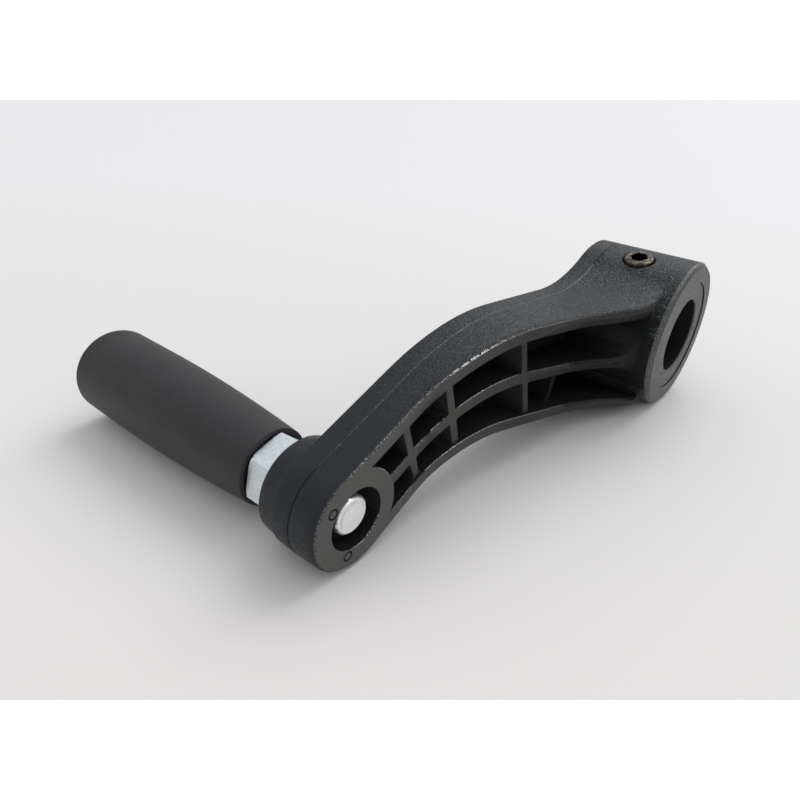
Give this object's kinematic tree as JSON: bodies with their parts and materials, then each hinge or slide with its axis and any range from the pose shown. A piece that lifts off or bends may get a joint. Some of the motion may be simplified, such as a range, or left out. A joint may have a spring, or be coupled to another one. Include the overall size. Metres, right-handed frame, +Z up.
{
  "type": "crank handle",
  "caption": "Ribbed moulded crank arm with a plain bored hub and set screw, and a turning grip on a steel spindle.",
  "frame": {"origin": "centre of the hub bore, midway along the hub", "axes": "+Z up, +Y along the bore from the hub's front face towards the grip; the arm runs from the hub towards -X"},
  "size_m": [0.1406, 0.1007, 0.0407],
  "materials": {
    "arm_plastic": "black glass-filled plastic with a fine spark-eroded grain outside and smoother rims",
    "grip_plastic": "smooth matte charcoal plastic",
    "zinc_steel": "bright zinc-plated turned steel",
    "dark_steel": "blackened steel, worn bright at its end"
  },
  "bodies": {
    "arm": {"crank_arm": "arm_plastic", "grip_spindle": "zinc_steel"},
    "grip": {"grip_sleeve": "grip_plastic"},
    "screw": {"set_screw": "dark_steel"}
  },
  "joints": [
    {"name": "grip_spin", "type": "hinge", "parent": "arm", "child": "grip", "pos_m": [-0.10963, 0.055, -0.009], "axis": [0, 1, 0], "continuous": true},
    {"name": "set_screw_travel", "type": "slide", "parent": "arm", "child": "screw", "axis": [-0.2705, 0, 0.9627], "range_m": [-0.0006, 0.004]}
  ]
}
